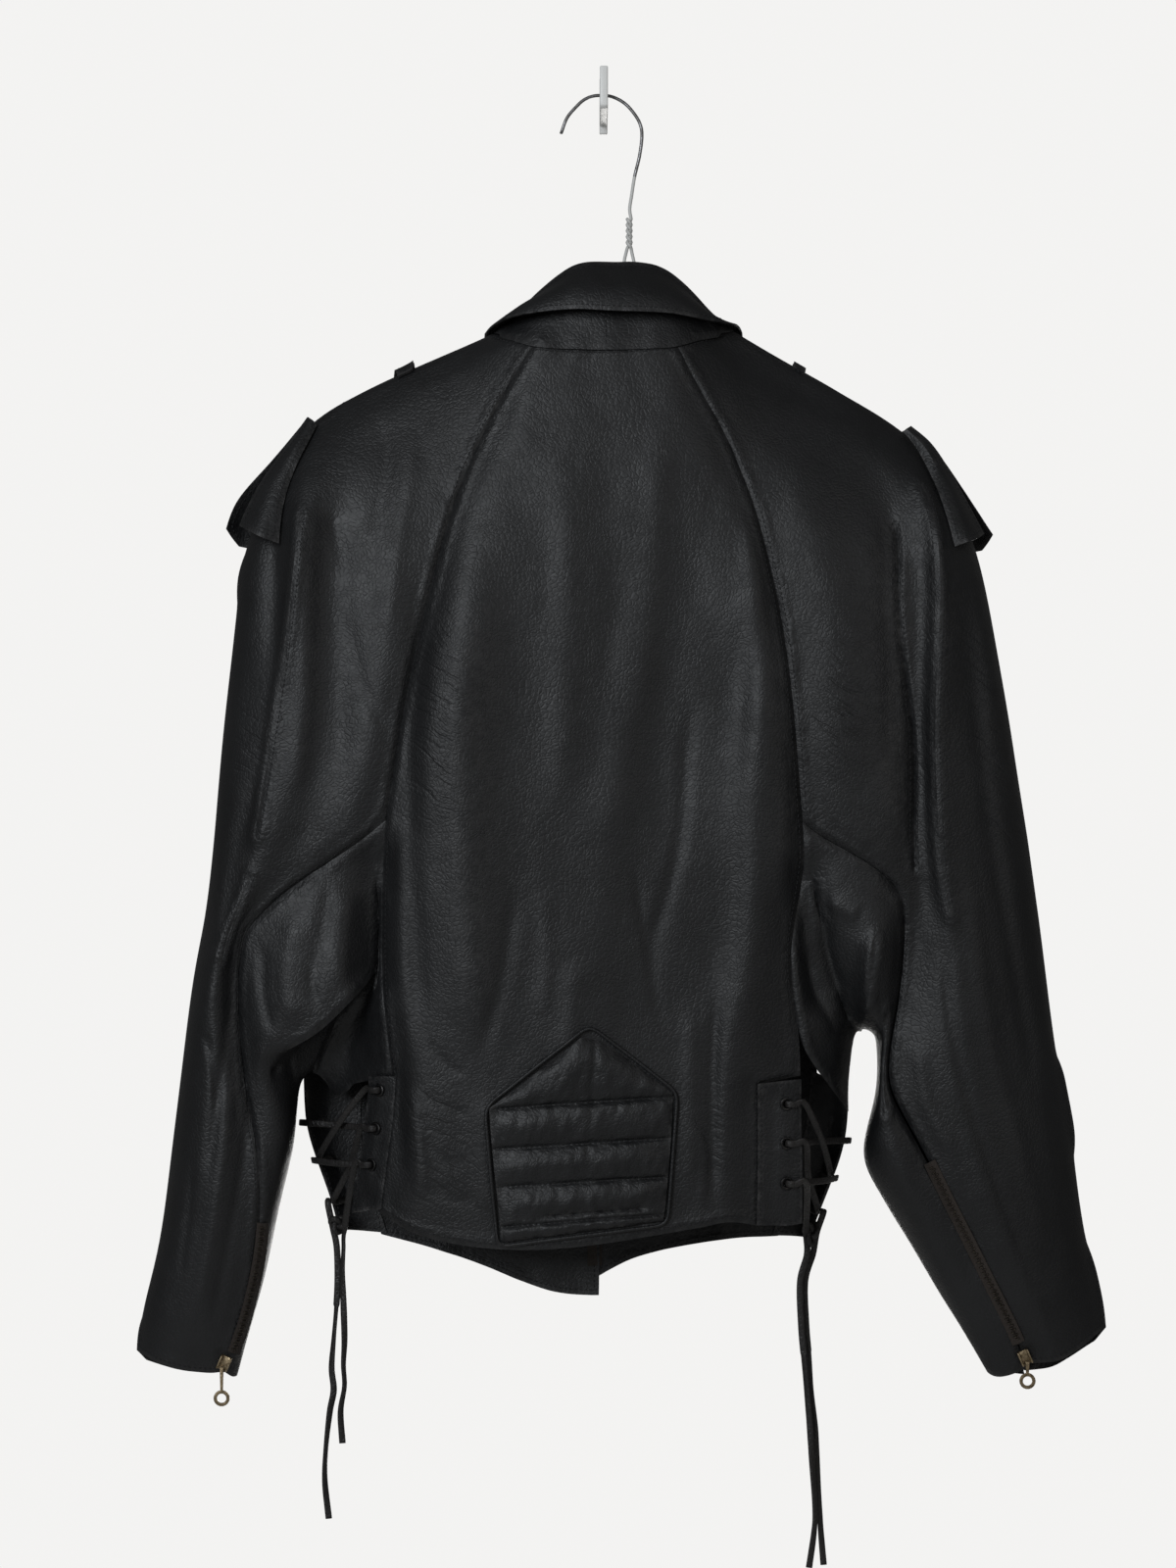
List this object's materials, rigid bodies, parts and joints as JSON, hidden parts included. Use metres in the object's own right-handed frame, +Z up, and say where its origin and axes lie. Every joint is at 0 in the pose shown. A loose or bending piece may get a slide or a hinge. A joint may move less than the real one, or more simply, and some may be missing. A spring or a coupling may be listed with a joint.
{
  "type": "worn leather jacket on a wire hanger with its wall hook",
  "caption": "Black leather biker jacket seen from the back, with laced sides and a quilted waist patch, hung on a wire hanger from a wall hook",
  "frame": {"origin": "centre line of the wall hook at the height of its arm's lower part, on the face of its plate that rests against the wall", "axes": "+Z up, +Y into the wall, +X to the right as seen from in front of the wall, where the jacket shows its back"},
  "size_m": [0.6763, 0.1101, 1.0512],
  "materials": {
    "black_leather": "worn, soft sheen, fine grain",
    "lace_leather": "flat cut lace, dull",
    "zip_tape": "woven tape, dull",
    "old_brass": "aged, dull",
    "eyelet_metal": "black enamel, worn",
    "hanger_wire": "dark bare steel wire",
    "white_paint": "white, satin"
  },
  "bodies": {
    "body": {"back_panel": "black_leather", "cap_back_left": "black_leather", "cap_back_right": "black_leather", "cap_front_left": "black_leather", "cap_front_right": "black_leather", "collar_fall": "black_leather", "collar_stand": "black_leather", "eyelet_left_1": "eyelet_metal", "eyelet_left_2": "eyelet_metal", "eyelet_left_3": "eyelet_metal", "eyelet_right_1": "eyelet_metal", "eyelet_right_2": "eyelet_metal", "eyelet_right_3": "eyelet_metal", "eyelet_strip_back_left": "black_leather", "eyelet_strip_back_right": "black_leather", "eyelet_strip_front_left": "black_leather", "eyelet_strip_front_right": "black_leather", "front_left": "black_leather", "front_right": "black_leather", "front_slider": "old_brass", "front_zip": "zip_tape", "lace_left_back": "lace_leather", "lace_left_front": "lace_leather", "lace_right_back": "lace_leather", "lace_right_front": "lace_leather", "patch_piping": "black_leather", "shoulder_strap_left": "black_leather", "shoulder_strap_right": "black_leather", "sleeve_left": "black_leather", "sleeve_right": "black_leather", "sleeve_zip_left": "zip_tape", "sleeve_zip_right": "zip_tape", "slider_left": "old_brass", "slider_right": "old_brass", "under_sleeve_left": "black_leather", "under_sleeve_right": "black_leather", "waist_patch": "black_leather", "wall_hook": "white_paint", "wire_hanger": "hanger_wire"},
    "pull_left": {"pull_left": "old_brass"},
    "pull_right": {"pull_right": "old_brass"}
  },
  "joints": [
    {"name": "pull_left_hinge", "type": "hinge", "parent": "body", "child": "pull_left", "pos_m": [-0.26362, -0.06826, -0.87207], "axis": [-1, 0, 0], "range_deg": [0, 100]},
    {"name": "pull_right_hinge", "type": "hinge", "parent": "body", "child": "pull_right", "pos_m": [0.29189, -0.06935, -0.86798], "axis": [-1, 0, 0], "range_deg": [0, 100]}
  ]
}
